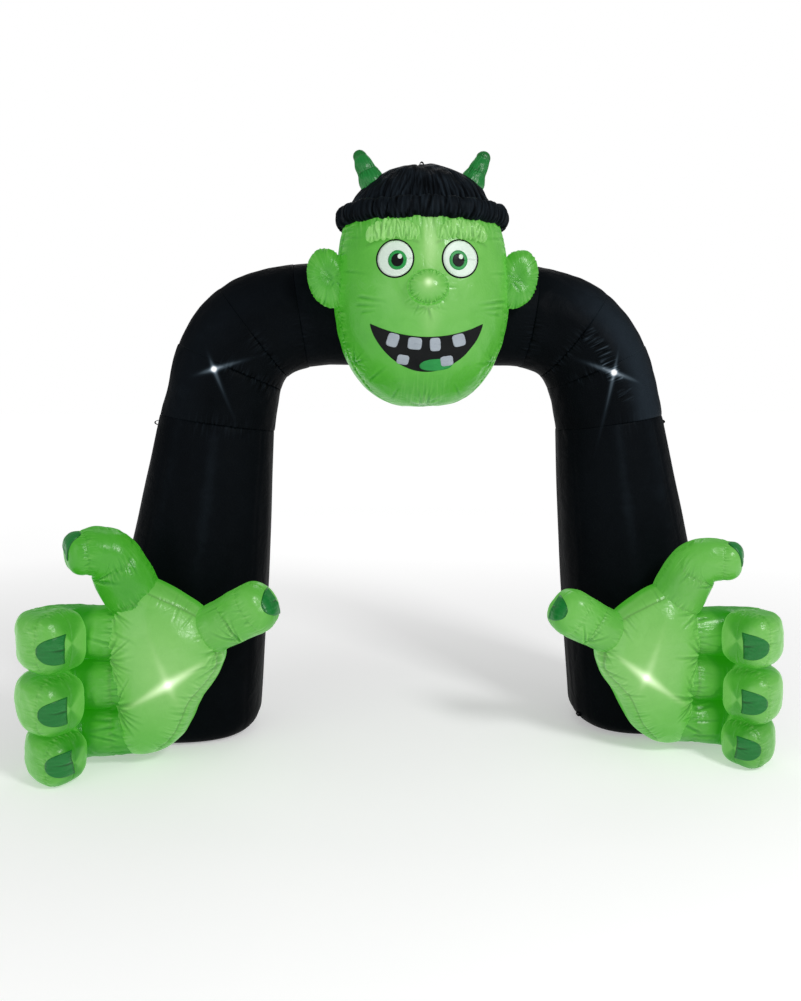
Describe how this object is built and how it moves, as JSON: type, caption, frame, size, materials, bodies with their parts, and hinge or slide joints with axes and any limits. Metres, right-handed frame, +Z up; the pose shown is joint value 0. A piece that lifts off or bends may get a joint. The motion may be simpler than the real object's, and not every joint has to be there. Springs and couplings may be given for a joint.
{
  "type": "inflatable arch",
  "caption": "Free-standing air-filled cloth arch to walk through, with large hands in front of its legs and a soft monster head on its crown.",
  "frame": {"origin": "middle of the underside of the whole arch's box, on the ground that its feet stand on", "axes": "+X from the left-hand leg to the right-hand leg as seen from the front, +Y from front to back, +Z up"},
  "size_m": [2.9578, 1.0416, 2.3919],
  "materials": {
    "black_cloth": "thin black woven polyester, softly glossy, stretched by air",
    "green_cloth": "thin lime green woven polyester, lit a little from inside, gathered at its seams",
    "dark_green_cloth": "thin dark green woven polyester",
    "webbing": "matt black woven webbing"
  },
  "bodies": {
    "root": {"crown": "black_cloth", "cap": "black_cloth", "brim": "black_cloth", "left_leg": "black_cloth", "left_gore_1": "black_cloth", "left_gore_2": "black_cloth", "left_gore_3": "black_cloth", "right_leg": "black_cloth", "right_gore_1": "black_cloth", "right_gore_2": "black_cloth", "right_gore_3": "black_cloth", "head": "green_cloth", "nose": "green_cloth", "left_palm": "green_cloth", "left_finger_upper": "green_cloth", "left_finger_middle": "green_cloth", "left_finger_lower": "green_cloth", "left_finger_index": "green_cloth", "left_thumb": "green_cloth", "left_ear": "green_cloth", "left_brow": "green_cloth", "right_palm": "green_cloth", "right_finger_upper": "green_cloth", "right_finger_middle": "green_cloth", "right_finger_lower": "green_cloth", "right_finger_index": "green_cloth", "right_thumb": "green_cloth", "right_ear": "green_cloth", "right_brow": "green_cloth", "left_finger_upper_nail": "dark_green_cloth", "left_finger_middle_nail": "dark_green_cloth", "left_finger_lower_nail": "dark_green_cloth", "left_finger_index_nail": "dark_green_cloth", "left_thumb_nail": "dark_green_cloth", "left_horn": "dark_green_cloth", "right_finger_upper_nail": "dark_green_cloth", "right_finger_middle_nail": "dark_green_cloth", "right_finger_lower_nail": "dark_green_cloth", "right_finger_index_nail": "dark_green_cloth", "right_thumb_nail": "dark_green_cloth", "right_horn": "dark_green_cloth", "top_tether_loop": "webbing", "right_stake_loop": "webbing", "left_tether_loop": "webbing", "right_tether_loop": "webbing"}
  },
  "joints": []
}
